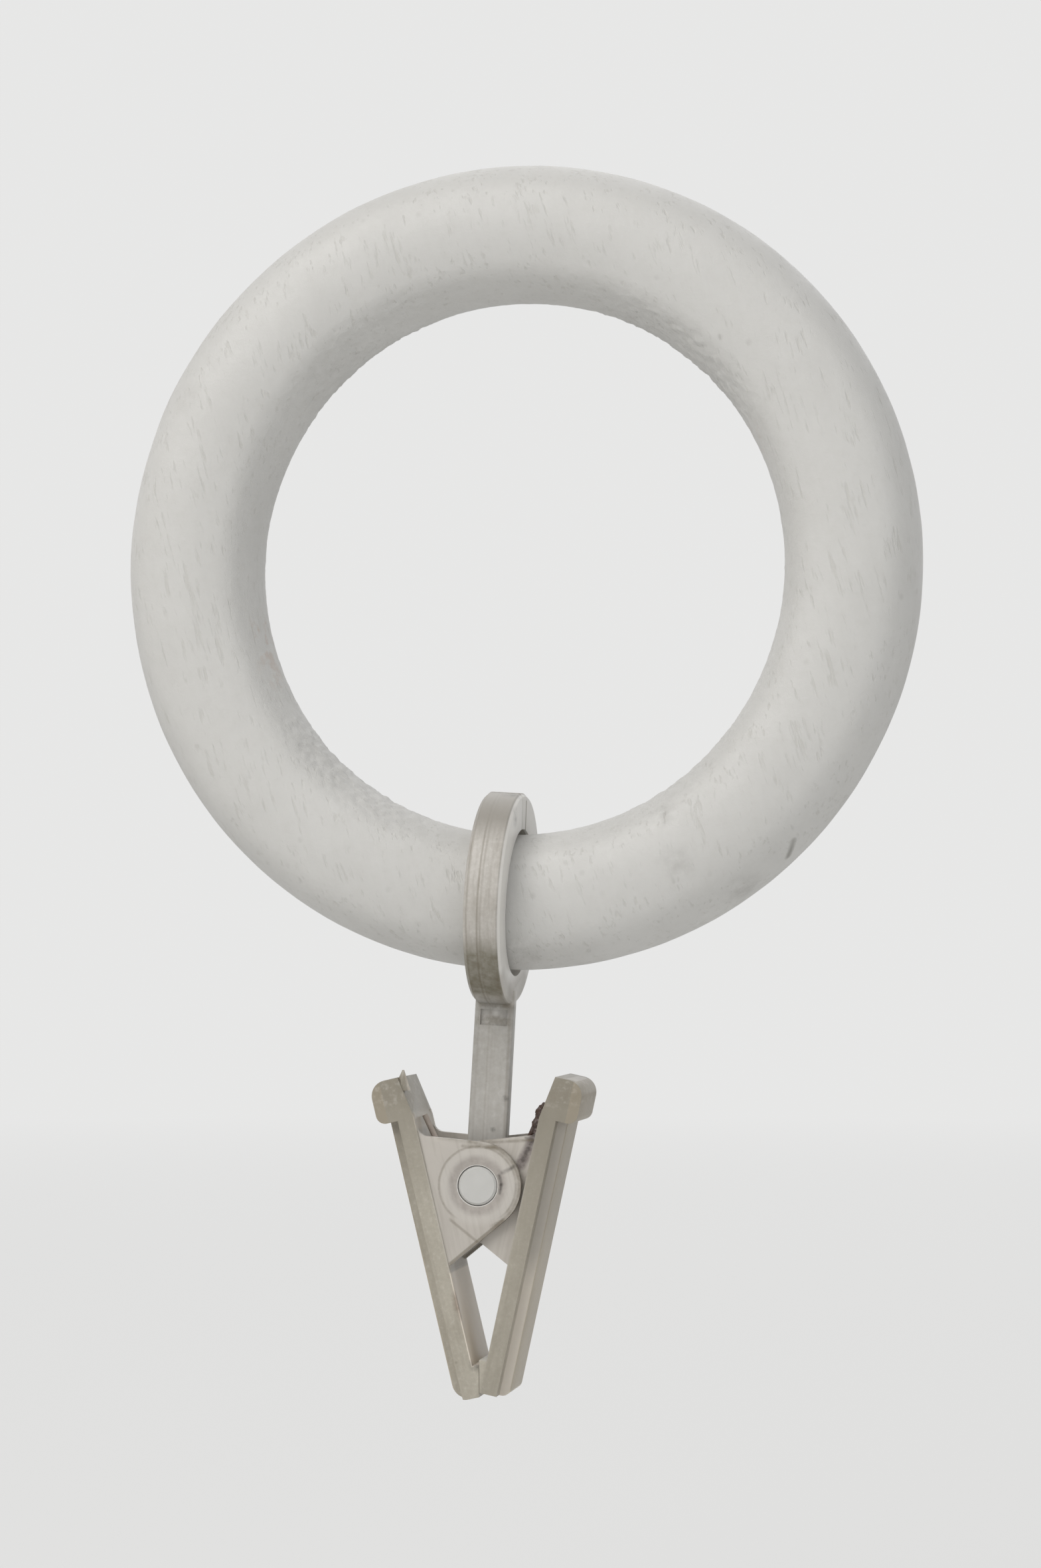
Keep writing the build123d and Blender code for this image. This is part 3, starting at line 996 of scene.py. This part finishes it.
# the wooden ring, turned from its own section, with torn grain under the paint of its inner wall
ring = {
    "stepsRound": 560,
    "edgeLength": 0.30 * mm,
    "cutTurn": radians(0.4),
    "wallFrom": 20.6 * mm,
    "wallTo": 19.4 * mm,
    # angle round the ring in degrees, half width in degrees, and how torn it is there
    "tornPlaces": [(52, 26, 1.0), (128, 24, 0.8), (232, 22, 0.9), (308, 20, 0.5)],
    "tornAll": 0.18,
    "tornDepth": 0.36 * mm,
    "tornSize": 0.48 * mm,
    "tornMiddle": 0.68,
    "tornSteps": 20,
    "waviness": 0.10 * mm,
    "waveSize": 5.0 * mm,
    "waveMiddle": 0.7,
    "weldWithin": 0.004 * mm,
}


def ringSection():
    piece = copyOfNode("wooden_ring", "paintedRing", flatWithin=None)
    across = (sin(ring["cutTurn"]), 0, cos(ring["cutTurn"]))
    bpy.ops.object.mode_set(mode="EDIT")
    bpy.ops.mesh.select_all(action="SELECT")
    bpy.ops.mesh.bisect(plane_co=(0, 0, 0), plane_no=across, clear_inner=True, clear_outer=True)
    pick(piece, lambda vert: vert.co.x < 0, "verts")
    bpy.ops.mesh.delete(type="VERT")
    while pick(piece, lambda edge: edge.calc_length() > ring["edgeLength"], "edges"):
        bpy.ops.mesh.subdivide(number_cuts=1)
    bpy.ops.mesh.select_all(action="SELECT")
    bpy.ops.mesh.vertices_smooth(factor=0.5, repeat=3)
    return piece


def tornShare(place):
    # how torn the grain is at a place: only on the inner wall, most of all where it is cut across
    radius = hypot(place.x, place.z)
    wall = min(max((ring["wallFrom"] - radius) / (ring["wallFrom"] - ring["wallTo"]), 0.0), 1.0)
    share = ring["tornAll"]
    for angle, half, amount in ring["tornPlaces"]:
        toward = (place.x * cos(radians(angle)) + place.z * sin(radians(angle))) / radius
        edge = cos(radians(half))
        share += amount * min(max((toward - edge) / (1 - edge), 0.0), 1.0)
    return wall * min(share, 1.0)


def roughen(piece, name, size, depth, middle, group=None):
    texture = bpy.data.textures.new(name, type="CLOUDS")
    texture.noise_scale = size
    texture.noise_depth = 3
    press = piece.modifiers.new(name, "DISPLACE")
    press.texture = texture
    press.texture_coords = "LOCAL"
    press.strength = depth
    press.mid_level = middle
    if group:
        press.vertex_group = group
    applyAll(piece)


def makeRing():
    piece = ringSection()
    bpy.ops.object.mode_set(mode="OBJECT")
    turned = piece.modifiers.new("turned", "SCREW")
    turned.axis = "Y"
    turned.angle = 2 * pi
    turned.steps = turned.render_steps = ring["stepsRound"]
    turned.use_merge_vertices = True
    turned.merge_threshold = ring["weldWithin"]
    applyAll(piece)
    bpy.ops.object.mode_set(mode="EDIT")
    bpy.ops.mesh.select_all(action="SELECT")
    bpy.ops.mesh.remove_doubles(threshold=ring["weldWithin"])
    bpy.ops.mesh.normals_make_consistent(inside=False)
    bpy.ops.object.mode_set(mode="OBJECT")
    torn = piece.vertex_groups.new(name="torn")
    steps = {}
    for vert in piece.data.vertices:
        steps.setdefault(round(tornShare(vert.co) * ring["tornSteps"]), []).append(vert.index)
    for step, members in steps.items():
        if step:
            torn.add(members, step / ring["tornSteps"], "REPLACE")
    roughen(piece, "tornGrain", ring["tornSize"], ring["tornDepth"], ring["tornMiddle"], "torn")
    roughen(piece, "handTurned", ring["waveSize"], ring["waviness"], ring["waveMiddle"])
    return finishPiece(piece, "ring", "wooden_ring", ringPaint)


paintedRing = makeRing()
print("ring made", len(paintedRing.data.polygons))

# the hanger and the two jaws, with the soft edges of moulded plastic
edges = {"hanger": 0.12 * mm, "jaws": 0.18 * mm, "steps": 3, "sharp": radians(35)}
pads = {"below": -11.0 * mm, "closeBy": 0.035 * mm, "planeWithin": 0.08 * mm}


def makeHanger():
    piece = copyOfNode("hanger", "hangerMoulding")
    softenEdges(piece, edges["hanger"], edges["steps"])
    return finishPiece(piece, "hanger", "hanger", bandPlastic)


def fromPin(place):
    # across and up from the pin, in the head's own tilt
    away = place - head["pivot"]
    turn = head["tilt"]
    return away.x * cos(turn) - away.z * sin(turn), away.x * sin(turn) + away.z * cos(turn)


def onClosingPlane(place):
    across, up = fromPin(place)
    return abs(across) < pads["planeWithin"] and up < pads["below"]


def isSharp(edge):
    if not edge.is_manifold or edge.calc_face_angle(0) < edges["sharp"]:
        return False
    return not all(onClosingPlane(vert.co) for vert in edge.verts)


def makeJaw(nodeName, newName, material, inward):
    piece = copyOfNode(nodeName, newName)
    bpy.ops.object.mode_set(mode="EDIT")
    pick(piece, lambda vert: onClosingPlane(vert.co), "verts")
    bpy.ops.transform.translate(value=(inward * pads["closeBy"], 0, 0))
    pick(piece, isSharp, "edges")
    bpy.ops.mesh.bevel(offset=edges["jaws"], segments=edges["steps"], affect="EDGES", clamp_overlap=True)
    bpy.ops.object.mode_set(mode="OBJECT")
    return finishPiece(piece, nodeName, nodeName, material)


flash = {
    "foot": Vector((-7.86, -2.74, -36.3)) * mm,
    "radius": 0.64 * mm,
    "tipRadius": 0.07 * mm,
    "height": 1.42 * mm,
    "lean": 0.10 * mm,
    "flatten": (1.0, 0.6, 1.0),
    "softEdge": 0.03 * mm,
}


def makeFlash():
    # the thin point of flash that stands on the left lip
    deselectAll()
    bpy.ops.mesh.primitive_cone_add(
        vertices=10,
        radius1=flash["radius"],
        radius2=flash["tipRadius"],
        depth=flash["height"],
        location=flash["foot"] + Vector((0, 0, flash["height"] / 2)),
    )
    piece = bpy.context.object
    piece.name = "lipFlash"
    bpy.ops.object.mode_set(mode="EDIT")
    bpy.ops.mesh.select_all(action="SELECT")
    bpy.ops.transform.resize(value=flash["flatten"], center_override=flash["foot"])
    pick(piece, lambda vert: vert.co.z > 0, "verts")
    bpy.ops.transform.translate(value=(flash["lean"], 0, 0))
    bpy.ops.object.mode_set(mode="OBJECT")
    softenEdges(piece, flash["softEdge"], 2)
    return finishPiece(piece, "left_jaw", None, leftPlastic)


crust = {
    "middle": Vector((4.12, -1.60, 4.45)) * mm,
    "half": (0.42, 0.45, 1.25),
    "roughness": 0.5 * mm,
    "lumpSize": 0.45 * mm,
}


def makeCrust():
    # the lump of rust that has grown over the spring's right leg
    deselectAll()
    bpy.ops.mesh.primitive_ico_sphere_add(subdivisions=5, radius=1 * mm, location=(0, 0, 0))
    piece = bpy.context.object
    piece.name = "springRust"
    bpy.ops.object.mode_set(mode="EDIT")
    bpy.ops.mesh.select_all(action="SELECT")
    bpy.ops.transform.resize(value=crust["half"], center_override=(0, 0, 0))
    bpy.ops.object.mode_set(mode="OBJECT")
    piece.rotation_euler = (0, head["lean"], 0)
    piece.location = head["pivot"] + crust["middle"]
    atOrigin(piece)
    roughen(piece, "rustLumps", crust["lumpSize"], crust["roughness"], 0.5)
    return finishPiece(piece, "right_jaw", None, springWire, angle=180)


def makeSpring():
    # a copy of the spring's wire between the two jaws, fixed in place and tied to neither jaw
    piece = copyOfNode("torsion_spring", "bendingSpring", flatWithin=None)
    finishPiece(piece, None, "torsion_spring", springWire)
    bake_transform(piece)


makeHanger()
makeJaw("left_jaw", "leftJawMoulding", leftPlastic, 1)
makeJaw("right_jaw", "rightJawMoulding", rightPlastic, -1)
makeFlash()
makeCrust()
makeSpring()
pivotPin = frame["nodes"]["pivot_pin"]
pivotPin.data.materials.clear()
pivotPin.data.materials.append(pinPlastic)
print("pieces made")
